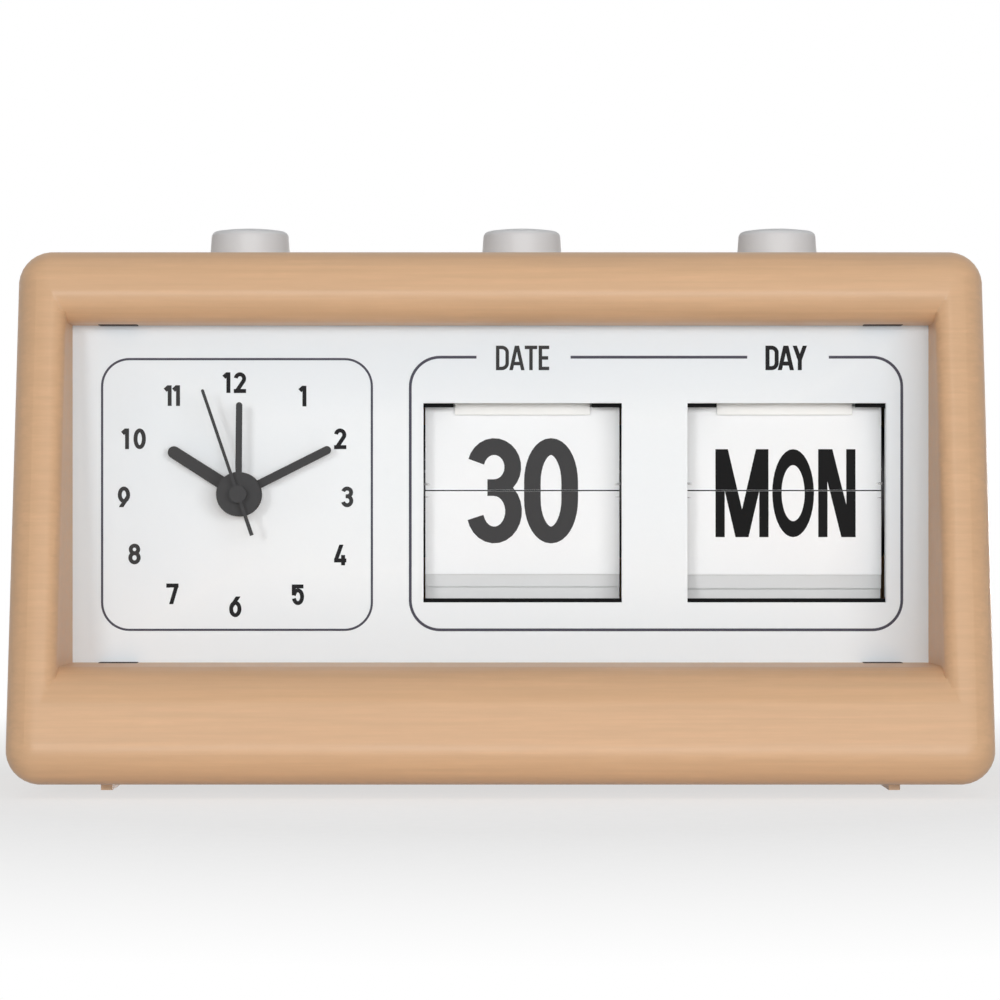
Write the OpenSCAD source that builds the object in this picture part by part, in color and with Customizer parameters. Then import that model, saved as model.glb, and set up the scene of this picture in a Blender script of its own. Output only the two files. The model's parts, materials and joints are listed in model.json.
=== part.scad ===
// Desk clock with calendar: a moulded case with a recessed dial, an analog
// alarm clock on the left, and two flip-card units (date and day) that a
// button on top steps on by one card.
// Millimetres, +Z up, the clock looks along -Y, the origin is the middle of
// the footprint on the table.

/* [Case] */
// Width of the case
case_w = 199; // [196:1:206]
// Height of the case top above the table
case_top = 111; // [109:0.5:114]
// Lean of the front plane, backwards, in degrees
front_lean = 12; // [8:0.5:13]
// Radius of all outer edges of the case
edge_r = 7; // [6:0.5:8]
// Wall thickness of the case
wall = 2.5; // [2:0.1:3]
// Width of each side bar of the case front
side_bar = 10.35; // [9.5:0.05:11]
// Height of the two rails under the case
rail_h = 2.4; // [1.6:0.2:4]

/* [Dial] */
// Lower edge of the dial opening above the table
dial_lo = 26; // [24:0.1:27]
// Upper edge of the dial opening above the table
dial_hi = 96.2; // [95:0.1:97]
// Thickness of the dial plate
dial_t = 2; // [1.6:0.1:2]

/* [Buttons] */
// Diameter of a button at the case top
button_d = 17.4; // [15:0.2:18]
// Height of a button above the case top
button_h = 7.5; // [5:0.5:9]
// Travel of a button
travel = 2.5; // [2:0.1:2.6]
// Radial play of a button in its hole
button_play = 0.2; // [0.1:0.05:0.4]
// Curls in each button spring
spring_turns = 5; // [4:1:6]

/* [Cards] */
// Width of a card as a share of the dial width
card_share = 0.2288; // [0.215:0.001:0.23]
// Thickness of a card
card_t = 0.2; // [0.12:0.02:0.2]
// Gap between a card and the side of its window
window_gap = 0.3; // [0.2:0.05:0.6]
// Cards in the date drum
date_cards = 31; // [30:1:31]
// Cards in the day drum
day_cards = 28; // [28:7:28]

/* [Hands] */
// Length of the hour hand
hour_len = 17.5; // [12:0.5:18]
// Length of the minute hand
minute_len = 21.2; // [18:0.2:23]
// Length of the alarm hand
alarm_len = 19; // [14:0.2:20]
// Length of the second hand
second_len = 22.8; // [18:0.2:24]
// Radius of the disc at the hub of the hour, minute and alarm hands
hub_r = 4.6; // [4.2:0.1:5.5]

/* [Rear] */
// Diameter of the time-setting knob
time_knob_d = 12; // [9:0.5:14]
// Diameter of the alarm-setting knob
alarm_knob_d = 10; // [8:0.5:12]
// Length of both knobs behind the cover
knob_len = 7.7; // [5:0.1:10]

/* [Hidden] */
$fn = 48;

// The two ends of a stretch, counted from a place
function span(at, lo, hi) = [at + lo, at + hi];

// Case: y = 0 is the front face of the dial plate, y grows to the rear.
rear_y = 50;
sill_y = -35.1;
lean = tan(front_lean);
case_lo = rail_h;
half_w = case_w / 2;
dial_w = case_w - 2 * side_bar;
half_dial = dial_w / 2;
low_ball = case_lo + edge_r;
top_ball = case_top - edge_r;
ball_y = sill_y + edge_r / cos(front_lean);
front_y = ball_y + lean * low_ball - edge_r;
knob_end = rear_y + 0.3 + knob_len;
mid_y = (front_y + knob_end) / 2;
side_roll = side_bar - edge_r;
top_roll = 6;
low_roll = 10;
core_side = 2;
core_top = 3.5;
core_low = 6;
slot_x = span(half_dial, -13.85, -5.65);
slot_y = 4;
slot_deep = 1.4;
far = 90;
gap = 0.3;
cover_t = 2.5;
cover_y = rear_y - cover_t;
boss_x = half_w - wall - 5.5;
boss_z = case_top - 13;
boss_y = 8;
screw_deep = 12;
boss_r = 3.6;
screw_r = 1.4;
rail_x = half_w - 19.5;
rail_t = 2.35;
rail_y = [-8, 40];
peg_r = 1;
peg_y = [0, 32];
stake_x = half_dial - 19;
stake_z = [dial_lo - 3, dial_hi + 2];
stake_r = 1.1;
fit = 0.06;

// Buttons and flip units
date_x = dial_w * 0.0258;
day_x = dial_w * 0.33455;
alarm_x = -dial_w * 0.3029;
button_y = 27;
button_r = button_d / 2;
cap_taper = 0.4;
cap_soft = 1.3;
cap_crown = 0.75;
flange_z = case_top - wall - 0.05;
flange_t = 1.5;
stem_r = 2.2;
guide_z = case_top - 16;
guide_t = 1.5;
arm_t = 3;
arm_z = guide_z - travel - arm_t + 0.5;
guide_half = 13;
guide_deep = 12;
wire_r = 0.35;
coil_r = 4;
drum_y = 20.4;
drum_z = 61.9;
pivot_r = 13.4;
card_len = 16.19;
card_split = 0.25;
card_back = 0.04;
pin_r = 0.25;
pin_hole_r = 0.33;
disc_r = 14.2;
disc_t = 1.2;
half_card = dial_w * card_share / 2;
window_w = 2 * (half_card + window_gap);
disc_x = half_card + 0.2;
pin_x = disc_x + disc_t - 0.2;
leg_x = span(half_card, 1.6, 2.8);
leg_y = [4.2, 6];
frame_x = leg_x[1] + 1.1;
frame_t = 1.2;
brow_t = 1;
frame_z = drum_z - disc_r + 0.3;
frame_y = drum_y + disc_r + 3.4;
ear = 1.2;
hub_x = frame_x - 0.1;
hub_tube_r = 3;
axle_r = 1.5;
axle_play = 0.05;
tooth_deep = 1;
nose_gap = 0.15;
window_z = [38.5, 80.05];
edge_seen = 0.8;
sill_z = window_z[0] - 3;
rim_z = [window_z[0] + edge_seen + gap, window_z[1] - edge_seen - gap];
tab_w = window_w - 13;
tab_z = span(window_z[1], -2.25, 3.95);
tab_y = 6.2;
tab_t = 0.3;

// Movement: the axis of the hands and the arbors around it
axis_x = -dial_w * 0.3037;
axis_z = 61;
box_half = 27;
box_y = [dial_t + 0.2, 17.7];
box_wall = 1.2;
shelf_z = axis_z + 16.8;
bush_r = 4;
bush_y = -0.8;
arbor_r = 0.45;
alarm_pipe_r = 0.95;
minute_pipe_r = 1.5;
hour_pipe_r = 2.1;
pipe_play = 0.07;

// Gear train: modules, teeth, and the direction of each arbor from the one before
fine_m = 0.3;
third_m = 0.3176;
motion_m = 0.45;
hour_m = 0.432;
alarm_m = 0.35;
leaves = 8;
centre_n = 64;
third_n = 60;
second_n = 48;
inter_n = 40;
cannon_n = 12;
motion_n = 36;
hour_leaves = 10;
hour_n = 40;
setter_n = 14;
alarm_n = 42;
third_dir = 60;
inter_dir = -20;
rotor_dir = -70;
arm_long = (centre_n + leaves) * fine_m / 2;
motion_at = [0, -arm_long];
set_at = [-(alarm_n + setter_n) * alarm_m / 2, 0];
third_at = arm_long * [cos(third_dir), sin(third_dir)];
inter_at = (second_n + leaves) * fine_m / 2 * [cos(inter_dir), sin(inter_dir)];
rotor_at = inter_at + (inter_n + leaves) * fine_m / 2 * [cos(rotor_dir), sin(rotor_dir)];

shaft_r = 0.65;
pivot_tip = 0.3;
layer_hour = [4, 5];
layer_motion = [5.4, 6.4];
layer_centre = [6.9, 7.7];
layer_alarm = [8.2, 9.2];
layer_bar = [9.4, 10.2];
layer_third = [10.4, 11.2];
layer_second = [11.7, 12.5];
layer_inter = [13, 13.8];
magnet_y = [14.2, 16];
magnet_r = 3;
bobbin_r = 4;
coil_x = [-16, 8];
coil_y = 10.5;
coil_z = -box_half + box_wall + bobbin_r + 0.3;
plate_y = magnet_y + [0.4, -0.4];
stator_post = [coil_x[0] - 1, rotor_at[0] + 3];
board_x = span(-box_half, 2, 14);
backlash = 0.09;
blade_taper = 0.95;
hour_w = 2.7;
minute_w = 1.8;
alarm_w = 1.35;
second_w = 0.65;
second_tail = [0.8, 9];
hour_shows = 302.5;
minute_shows = 63.3;
alarm_shows = 0.5;
second_shows = 341.2;
hub_boss_r = 1.8;
hub_boss_t = 0.4;
hour_hand_y = [-2.4, -1.6];
minute_hand_y = [-4.2, -3.5];
alarm_hand_y = [-6.6, -6];
second_hand_y = [-8.4, -8];

// Battery
cell_r = 7.25;
cell_len = 49.2;
cell_x = alarm_x;
cell_y = 38;
cell_z = 20;
bay = [60, 20];
bay_y = 29.2;
door = bay - [4, 3];
buzzer_at = [60, 20];
buzzer_r = 11;

// ---- helpers -------------------------------------------------------------

// Everything is drawn from the dial; this puts the origin under the middle.
module placed() { translate([0, -mid_y, 0]) children(); }

// 2D (x, z) drawing pushed along y
module xz(y0, y1) {
    translate([0, y1, 0]) rotate([90, 0, 0]) linear_extrude(y1 - y0) children();
}

// 2D (y, z) drawing pushed along x
module yz(x0, x1) {
    translate([x0, 0, 0]) rotate([90, 0, 90]) linear_extrude(x1 - x0) children();
}

module block(x, y, z) {
    translate([x[0], y[0], z[0]]) cube([x[1] - x[0], y[1] - y[0], z[1] - z[0]]);
}

module ycyl(r, y0, y1, x = 0, z = 0) {
    translate([x, y1, z]) rotate([90, 0, 0]) cylinder(r = r, h = y1 - y0);
}

module xcyl(r, x0, x1, y = 0, z = 0) {
    translate([x0, y, z]) rotate([0, 90, 0]) cylinder(r = r, h = x1 - x0);
}

module round_rect(x, z, r) {
    translate([x[0] + r, z[0]]) square([x[1] - x[0] - 2 * r, z[1] - z[0]]);
    translate([x[0], z[0] + r]) square([x[1] - x[0], z[1] - z[0] - 2 * r]);
    for (u = [x[0] + r, x[1] - r], v = [z[0] + r, z[1] - r])
        translate([u, v]) circle(r);
}

// A wound wire: rings of six points swept along a helix about +Z
module winding(r, wire, height, turns) {
    rings = turns * 8;
    pts = [for (i = [0:rings], k = [0:5])
        let (a = i * 45, q = k * 60, d = r + wire * cos(q))
        [d * cos(a), d * sin(a), wire + (height - 2 * wire) * i / rings + wire * sin(q)]];
    faces = concat([[for (k = [5:-1:0]) k]],
        [for (i = [0:rings - 1], k = [0:5])
            [6 * i + k, 6 * i + (k + 1) % 6, 6 * i + 6 + (k + 1) % 6, 6 * i + 6 + k]],
        [[for (k = [0:5]) 6 * rings + k]]);
    polyhedron(points = pts, faces = faces, convexity = 8);
}

// ---- case ----------------------------------------------------------------

// Ball centres follow the leaning front plane; r is the ball radius.
module case_form(r, back) {
    hull() {
        for (x = [-1, 1], z = [low_ball, top_ball])
            translate([x * (half_w - edge_r), ball_y + lean * z, z]) sphere(r, $fn = 32);
        for (x = [-1, 1], z = [low_ball, top_ball])
            ycyl(r, back - 1, back, x * (half_w - edge_r), z, $fn = 32);
    }
}

// Opening profile seen from the side: the bars roll in over the lean
module mouth_side() {
    low = dial_lo - low_roll;
    high = dial_hi + top_roll;
    low_y = sill_y + lean * low + low_roll / cos(front_lean);
    high_y = sill_y + lean * high + top_roll / cos(front_lean);
    low_end = low + low_roll * sin(front_lean);
    high_end = high + top_roll * sin(front_lean);
    difference() {
        polygon([[0, dial_lo], [0, dial_hi], [high_y, dial_hi], [high_y - 1, high_end],
            [-far, high_end], [-far, low_end], [low_y - 1, low_end], [low_y, dial_lo]]);
        translate([low_y, low]) circle(low_roll);
        translate([high_y, high]) circle(top_roll);
    }
}

// Opening seen from above, cut along the lean: the sides roll in
module mouth_top() {
    difference() {
        translate([-half_dial - side_roll, -far]) square([dial_w + 2 * side_roll, 2 * far]);
        for (s = [-1, 1]) {
            translate([s * (half_dial + side_roll), side_roll]) circle(side_roll);
            translate([s * (half_dial + side_roll / 2), side_roll + far / 2])
                square([side_roll, far], center = true);
        }
    }
}

module mouth() {
    intersection() {
        yz(-half_w, half_w) mouth_side();
        multmatrix([[1, 0, 0, 0], [0, 1, lean, sill_y], [0, 0, 1, 0], [0, 0, 0, 1]])
            linear_extrude(case_top) mouth_top();
    }
}

module case_shell() {
    color("tan") placed() {
        difference() {
            case_form(edge_r, rear_y);
            difference() {
                case_form(edge_r - wall, rear_y + 1);
                block([-half_dial - core_side, half_dial + core_side], [-far, 0],
                    [dial_lo - core_low, dial_hi + core_top]);
            }
            mouth();
            for (x = [alarm_x, date_x, day_x])
                translate([x, button_y, case_top - wall - 1])
                    cylinder(r = button_r + button_play, h = wall + 2);
            for (s = [-1, 1], z = [dial_lo - slot_deep, dial_hi])
                block([min(s * slot_x[0], s * slot_x[1]), max(s * slot_x[0], s * slot_x[1])],
                    [-slot_y, -0.6], [z, z + slot_deep]);
            for (s = [-1, 1], y = peg_y)
                translate([s * (rail_x + rail_t / 2), y, 0])
                    cylinder(r = peg_r + fit, h = case_lo + wall + 1);
        }
        for (s = [-1, 1]) {
            difference() {
                union() {
                    ycyl(boss_r, boss_y, cover_y, s * boss_x, boss_z);
                    block([min(s * boss_x, s * (half_w - wall + 0.5)),
                        max(s * boss_x, s * (half_w - wall + 0.5))],
                        [boss_y, cover_y], [boss_z - 1, boss_z + 1]);
                }
                ycyl(screw_r, cover_y - screw_deep, cover_y + 1, s * boss_x, boss_z);
            }
            for (z = stake_z)
                ycyl(stake_r, -0.5, dial_t + 1, s * stake_x, z);
        }
    }
}

module rail(s) {
    x0 = s > 0 ? rail_x : -rail_x - rail_t;
    block([x0, x0 + rail_t], rail_y, [0, case_lo]);
    for (y = peg_y)
        translate([x0 + rail_t / 2, y, case_lo - 0.5])
            cylinder(r = peg_r, h = wall + 0.4);
}

module rail_left() { color("dimgray") placed() rail(-1); }
module rail_right() { color("dimgray") placed() rail(1); }

module dial_plate() {
    color("white") placed() difference() {
        union() {
            block([-half_dial - 4, half_dial + 4], [0, dial_t],
                [dial_lo - core_low + 0.5, dial_hi + core_top + 1]);
            for (x = [date_x, day_x], s = [-1, 1])
                block([x + s * (window_w / 2 + 0.6) - 0.6, x + s * (window_w / 2 + 0.6) + 0.6],
                    [dial_t - 0.5, dial_t + 1.2], rim_z);
        }
        for (x = [date_x, day_x])
            block([x - window_w / 2, x + window_w / 2], [-1, dial_t + 2], window_z);
        ycyl(bush_r + fit, -1, dial_t + 1, axis_x, axis_z);
        for (s = [-1, 1], z = stake_z)
            ycyl(stake_r + fit, -1, dial_t + 1, s * stake_x, z);
    }
}

// ---- rear ----------------------------------------------------------------

module knob_holes(r) {
    ycyl(r, cover_y - 1, rear_y + 1, axis_x + motion_at[0], axis_z + motion_at[1]);
    ycyl(r, cover_y - 1, rear_y + 1, axis_x + set_at[0], axis_z + set_at[1]);
}

module rear_cover() {
    inner = half_w - wall - gap;
    color("saddlebrown") placed() difference() {
        union() {
            xz(cover_y, rear_y) round_rect([-inner, inner],
                [case_lo + wall + gap, case_top - wall - gap], edge_r - wall - gap);
            block([cell_x - bay[0] / 2, cell_x + bay[0] / 2], [bay_y, cover_y + 0.5],
                [cell_z - bay[1] / 2, cell_z + bay[1] / 2]);
            ycyl(buzzer_r + 1.5, cover_y - 3, cover_y + 0.5, buzzer_at[0], buzzer_at[1]);
        }
        block([cell_x - bay[0] / 2 + 1.5, cell_x + bay[0] / 2 - 1.5], [bay_y + 1.2, rear_y - 1.2],
            [cell_z - bay[1] / 2 + 1.5, cell_z + bay[1] / 2 - 1.5]);
        block([cell_x - door[0] / 2, cell_x + door[0] / 2], [rear_y - 2, rear_y + 1],
            [cell_z - door[1] / 2, cell_z + door[1] / 2]);
        ycyl(buzzer_r + fit, cover_y - 4, cover_y, buzzer_at[0], buzzer_at[1]);
        for (i = [-2:2])
            block([buzzer_at[0] - 7, buzzer_at[0] + 7], [cover_y - 1, rear_y + 1],
                [buzzer_at[1] + 3 * i - 0.6, buzzer_at[1] + 3 * i + 0.6]);
        knob_holes(2);
        for (s = [-1, 1]) {
            ycyl(screw_r + 0.2, cover_y - 1, rear_y + 1, s * boss_x, boss_z);
            ycyl(3, rear_y - 1, rear_y + 1, s * boss_x, boss_z);
        }
    }
}

module battery_door() {
    half = [door[0] / 2 - gap, door[1] / 2 - gap];
    color("peru") placed() difference() {
        union() {
            block([cell_x - half[0], cell_x + half[0]], [rear_y - 1.2, rear_y],
                [cell_z - half[1], cell_z + half[1]]);
            block([cell_x - half[0], cell_x + half[0]], [rear_y - 2.7, rear_y - 1.1],
                [cell_z + half[1] - 1.5, cell_z + half[1]]);
        }
        for (i = [-1:1])
            block([cell_x - 8, cell_x + 8], [rear_y - 0.5, rear_y + 1],
                [cell_z + 2 * i - 0.4, cell_z + 2 * i + 0.4]);
    }
}

module cover_screw(s) {
    difference() {
        union() {
            ycyl(screw_r - fit, cover_y - screw_deep + 2, rear_y - 0.9, s * boss_x, boss_z);
            ycyl(2.7, rear_y - 1, rear_y - 0.1, s * boss_x, boss_z);
        }
        block([s * boss_x - 2, s * boss_x + 2], [rear_y - 0.6, rear_y],
            [boss_z - 0.3, boss_z + 0.3]);
        block([s * boss_x - 0.3, s * boss_x + 0.3], [rear_y - 0.6, rear_y],
            [boss_z - 2, boss_z + 2]);
    }
}

module cover_screw_left() { color("silver") placed() cover_screw(-1); }
module cover_screw_right() { color("silver") placed() cover_screw(1); }

// ---- buttons -------------------------------------------------------------

// A button: a slight taper, a rounded rim and a low crown, on a stem down to stem_lo
module cap(x, stem_lo) {
    top = case_top + button_h;
    rim = button_r - cap_taper;
    dome = (rim * rim + cap_crown * cap_crown) / (2 * cap_crown);
    soft_x = rim - cap_soft;
    soft_z = dome - sqrt(pow(dome - cap_soft, 2) - soft_x * soft_x);
    translate([x, button_y, 0]) {
        translate([0, 0, flange_z - flange_t])
            cylinder(r = button_r + 1.3, h = flange_t);
        translate([0, 0, flange_z - 0.5])
            cylinder(r = button_r, h = case_top - flange_z + 0.5);
        translate([0, 0, case_top])
            cylinder(r1 = button_r, r2 = rim, h = button_h - soft_z);
        translate([0, 0, top - soft_z])
            rotate_extrude() intersection() {
                translate([0, soft_z - dome]) circle(dome, $fn = 360);
                union() {
                    square([soft_x * dome / (dome - cap_soft), soft_z + 1]);
                    translate([soft_x, 0]) circle(cap_soft);
                }
                square([button_r, soft_z + 1]);
            }
        translate([0, 0, stem_lo]) cylinder(r = stem_r, h = flange_z - flange_t - stem_lo + 0.5);
    }
}

module alarm_button() { color("lightgray") placed() cap(alarm_x, shelf_z + 10 + travel + 0.3); }

function half_step(cards) = 180 / cards;
function drive_r(cards) = travel / (360 / cards * PI / 180);
function tip_r(cards) = drive_r(cards) + 0.55;

// The step button: arm over the drum, leg in front, nose in a ratchet tooth
module step_button(x, cards) {
    reach = tip_r(cards);
    face_z = drum_z + reach * sin(half_step(cards));
    root_y = drum_y - (reach - tooth_deep) * cos(half_step(cards));
    cap(x, arm_z + 0.5);
    block([x - stem_r, x + leg_x[1]], [button_y - 2, button_y + 2], [arm_z, arm_z + arm_t]);
    block([x + leg_x[0], x + leg_x[1]], [leg_y[0], button_y + 2], [arm_z, arm_z + arm_t]);
    block([x + leg_x[0], x + leg_x[1]], leg_y, [face_z, arm_z + 0.5]);
    yz(x + leg_x[0], x + leg_x[1])
        polygon([[leg_y[0], face_z + nose_gap], [root_y - 0.35, face_z + nose_gap],
            [root_y - 0.35, face_z + nose_gap + 0.45], [leg_y[1], face_z + 3],
            [leg_y[0], face_z + 3]]);
}

module date_button() { color("lightgray") placed() step_button(date_x, date_cards); }
module day_button() { color("lightgray") placed() step_button(day_x, day_cards); }

module button_spring(x) {
    translate([x, button_y, guide_z + guide_t])
        winding(coil_r, wire_r, flange_z - flange_t - guide_z - guide_t, spring_turns);
}

module alarm_spring() { color("silver") placed() button_spring(alarm_x); }
module date_spring() { color("silver") placed() button_spring(date_x); }
module day_spring() { color("silver") placed() button_spring(day_x); }

module alarm_guide() {
    half = guide_half;
    deep = [button_y - guide_deep / 2, button_y + guide_deep / 2];
    top = case_top - wall - 0.05;
    color("beige") placed() difference() {
        union() {
            block([alarm_x - half, alarm_x + half], deep, [guide_z, guide_z + guide_t]);
            for (s = [-1, 1]) {
                block([alarm_x + s * half - 0.6, alarm_x + s * half + 0.6], deep,
                    [guide_z, top]);
                block([alarm_x + s * (half + 2) - 2.6, alarm_x + s * (half + 2) + 2.6], deep,
                    [top - guide_t, top]);
            }
        }
        translate([alarm_x, button_y, guide_z - 1]) cylinder(r = stem_r + 0.1, h = guide_t + 2);
    }
}

module alarm_switch() {
    color("black") placed() {
        block([alarm_x - 5, alarm_x + 5], [button_y - 4, button_y + 4],
            [shelf_z + 2.2, shelf_z + 8.2]);
        translate([alarm_x, button_y, shelf_z + 8]) cylinder(r = 1.6, h = 2);
        for (s = [-1, 1])
            translate([alarm_x + 3 * s, button_y, shelf_z]) cylinder(r = 0.5, h = 2.4);
    }
}

// ---- flip units ----------------------------------------------------------

module flip_frame(x) {
    difference() {
        union() {
            for (s = [-1, 1]) {
                block([x + s * (frame_x + frame_t / 2) - frame_t / 2,
                    x + s * (frame_x + frame_t / 2) + frame_t / 2],
                    [dial_t, frame_y], [frame_z, guide_z + guide_t]);
                block([x + s * (frame_x + ear) - ear, x + s * (frame_x + ear) + ear],
                    [dial_t, dial_t + guide_t], [sill_z, guide_z + guide_t]);
                brow = [tab_w / 2 + gap, frame_x + 0.5];
                block([x + min(s * brow), x + max(s * brow)], [dial_t, dial_t + brow_t],
                    [window_z[1] - edge_seen, window_z[1] + 5.5]);
            }
            block([x - frame_x - 0.5, x + frame_x + 0.5], [frame_y - 28, frame_y],
                [guide_z, guide_z + guide_t]);
            block([x - frame_x - 0.5, x + frame_x + 0.5], [dial_t, dial_t + guide_t],
                [window_z[1] + 5, window_z[1] + 9]);
            block([x - frame_x - 0.5, x + frame_x + 0.5], [dial_t, dial_t + guide_t],
                [sill_z, window_z[0] + edge_seen]);
        }
        translate([x, button_y, guide_z - 1]) cylinder(r = stem_r + 0.1, h = guide_t + 2);
        xcyl(axle_r + 0.01, x - frame_x - 5, x + frame_x + 5, drum_y, drum_z);
        xcyl(6, x - frame_x - 5, x + frame_x + 5, drum_y, drum_z + disc_r + 7);
    }
}

module date_frame() { color("black") placed() flip_frame(date_x); }
module day_frame() { color("black") placed() flip_frame(day_x); }

module axle(x) {
    reach = frame_x + frame_t;
    xcyl(axle_r, x - reach, x + reach, drum_y, drum_z);
}

module date_axle() { color("silver") placed() axle(date_x); }
module day_axle() { color("silver") placed() axle(day_x); }

// Place something drawn on the drum axis at slot i, counted over the top
module at_slot(i, cards) {
    a = half_step(cards) * (2 * i + 1);
    translate([0, drum_y - pivot_r * cos(a), drum_z + pivot_r * sin(a)]) children();
}

module drum(x, cards) {
    reach = tip_r(cards);
    translate([x, 0, 0]) {
        difference() {
            union() {
                for (s = [-1, 1])
                    xcyl(disc_r, min(s * disc_x, s * (disc_x + disc_t)),
                        max(s * disc_x, s * (disc_x + disc_t)), drum_y, drum_z);
                xcyl(hub_tube_r, -hub_x, hub_x, drum_y, drum_z);
                yz(disc_x + disc_t - 0.2, leg_x[1] + 0.2)
                    translate([drum_y, drum_z]) polygon([for (k = [0:cards - 1], e = [0, 1])
                        let (a = half_step(cards) * (2 * k + 1 + 1.99 * e),
                            r = reach - tooth_deep * (1 - e))
                        [-r * cos(a), r * sin(a)]]);
            }
            xcyl(axle_r + axle_play, -hub_x - 1, hub_x + 1, drum_y, drum_z);
            for (i = [0:cards - 1], s = [-1, 1])
                at_slot(i, cards) xcyl(pin_hole_r, min(s * (disc_x - 1), s * (pin_x + 0.1)),
                    max(s * (disc_x - 1), s * (pin_x + 0.1)));
        }
    }
}

module date_drum() { color("gray") placed() drum(date_x, date_cards); }
module day_drum() { color("gray") placed() drum(day_x, day_cards); }

// One card standing up from its pins, its printed face towards -Y. Its tail ends
// just short of the card that hangs below.
module card(cards) {
    tail = pivot_r * sin(half_step(cards)) - card_split / 2;
    block([-half_card, half_card], [card_back, card_back + card_t], [-tail, card_len]);
    for (s = [-1, 1])
        xcyl(pin_r, min(s * (half_card - 1), s * pin_x), max(s * (half_card - 1), s * pin_x),
            $fn = 16);
}

// Card in slot i: over the top and down the back it trails, below it hangs
module slot_card(i, cards, hangs) {
    at_slot(i, cards)
        rotate([hangs ? 180 : -half_step(cards) * 2 * i, 0, 0]) card(cards);
}

module flap(x, cards) { translate([x, 0, 0]) slot_card(0, cards, false); }
module fallen(x, cards, i) { translate([x, 0, 0]) slot_card(cards - 1 - i, cards, true); }

module leaves(x, cards) {
    trailing = floor(cards / 2);
    translate([x, 0, 0]) {
        for (i = [1:trailing])
            slot_card(i, cards, false);
        for (i = [trailing + 1:cards - 3])
            slot_card(i, cards, true);
    }
}

module date_flap() { color("ivory") placed() flap(date_x, date_cards); }
module day_flap() { color("ivory") placed() flap(day_x, day_cards); }
module date_fallen() { color("ivory") placed() fallen(date_x, date_cards, 0); }
module day_fallen() { color("ivory") placed() fallen(day_x, day_cards, 0); }
module date_fallen_next() { color("ivory") placed() fallen(date_x, date_cards, 1); }
module day_fallen_next() { color("ivory") placed() fallen(day_x, day_cards, 1); }
module date_leaves() { color("ivory") placed() leaves(date_x, date_cards); }
module day_leaves() { color("ivory") placed() leaves(day_x, day_cards); }

module tab(x) {
    block([x - tab_w / 2, x + tab_w / 2], [tab_y, tab_y + tab_t], tab_z);
    block([x - tab_w / 2, x + tab_w / 2], [dial_t, tab_y + tab_t], [tab_z[1] - 0.4, tab_z[1]]);
}

module date_tab() { color("lightgray") placed() tab(date_x); }
module day_tab() { color("lightgray") placed() tab(day_x); }

// The click: a strip from the guide plate down to a tooth at the back
module click(x, cards) {
    reach = tip_r(cards);
    turn = half_step(cards) * (2 * round((180 / half_step(cards) - 1) / 2) + 1);
    face_z = drum_z + reach * sin(turn) - nose_gap;
    strip_y = drum_y + reach + 0.5;
    block([x + leg_x[0], x + leg_x[1]], [strip_y, strip_y + 0.3], [face_z - 0.6, guide_z]);
    block([x + leg_x[0], x + leg_x[1]], [strip_y - 1, strip_y + 0.3], [face_z - 0.6, face_z]);
}

module date_click() { color("silver") placed() click(date_x, date_cards); }
module day_click() { color("silver") placed() click(day_x, day_cards); }

// ---- movement ------------------------------------------------------------

function inv(a) = tan(a) - a * PI / 180;

// Half the angle that a tooth covers at radius r
function tooth_half(n, m, r) =
    let (base = n * m * cos(20) / 2, a = acos(min(1, base / max(r, base))))
    90 / n - backlash / (n * m) * 180 / PI + (inv(20) - inv(a)) * 180 / PI;

// Involute gear, 2D, a tooth centred on angle turn
module gear(n, m, turn = 0, add = 0.75) {
    pitch = n * m / 2;
    tip = pitch + add * m;
    root = pitch - 1.1 * m;
    radii = [for (i = [0:3]) root + (tip - root) * i / 3];
    rotate(turn) polygon([for (k = [0:n - 1], i = [0:7])
        let (r = radii[i < 4 ? i : 7 - i], h = tooth_half(n, m, r),
            a = 360 * k / n + (i < 4 ? -h : h))
        [r * cos(a), r * sin(a)]]);
}

// Turn of a gear with n2 teeth that meshes at direction d with n1 teeth at t1
function mesh(t1, n1, n2, d) = d + 180 - ((t1 - d) * n1 + 180) / n2;

module on_axis(at = [0, 0]) { translate([axis_x + at[0], 0, axis_z + at[1]]) children(); }

module pipe(outer, inner, y0, y1) {
    difference() {
        ycyl(outer, y0, y1);
        ycyl(inner, y0 - 1, y1 + 1);
    }
}

// A wheel with a bore, spokes left out: three round lightening holes
module wheel(n, m, layer, bore, turn = 0, add = 0.45) {
    xz(layer[0], layer[1]) difference() {
        gear(n, m, turn, add);
        circle(bore);
        for (a = [0, 120, 240])
            rotate(a) translate([n * m * 0.29, 0]) circle(n * m * 0.1);
    }
}

// A hand: a disc r, a blade w wide with a round tip at len, and a tail behind it.
// A cap closes the bore in front.
module hand(r, w, tail_w, len, tail, y, angle, bore, cap = 0) {
    tip = w / 2 * blade_taper;
    rotate([0, angle, 0]) difference() {
        union() {
            ycyl(r, y[0] - cap, y[1]);
            xz(y[0], y[1]) {
                polygon([[-tail_w / 2, -tail], [tail_w / 2, -tail], [w / 2, 0],
                    [tip, len - tip], [-tip, len - tip], [-w / 2, 0]]);
                translate([0, len - tip]) circle(tip);
            }
        }
        ycyl(bore, cap > 0 ? y[0] : y[0] - 1, y[1] + 1);
    }
}

module hour_hand() {
    color("dimgray") placed() on_axis()
        hand(hub_r, hour_w, hour_w, hour_len, 0, hour_hand_y, hour_shows, hour_pipe_r);
}

module hour_wheel() {
    inner = minute_pipe_r + pipe_play;
    color("ivory") placed() on_axis() {
        wheel(hour_n, hour_m, layer_hour, inner, mesh(0, hour_leaves, hour_n, 90));
        pipe(hour_pipe_r, inner, hour_hand_y[0], layer_hour[1]);
    }
}

module minute_hand() {
    color("dimgray") placed() on_axis()
        hand(hub_r, minute_w, minute_w, minute_len, 0, minute_hand_y, minute_shows,
            minute_pipe_r);
}

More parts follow.
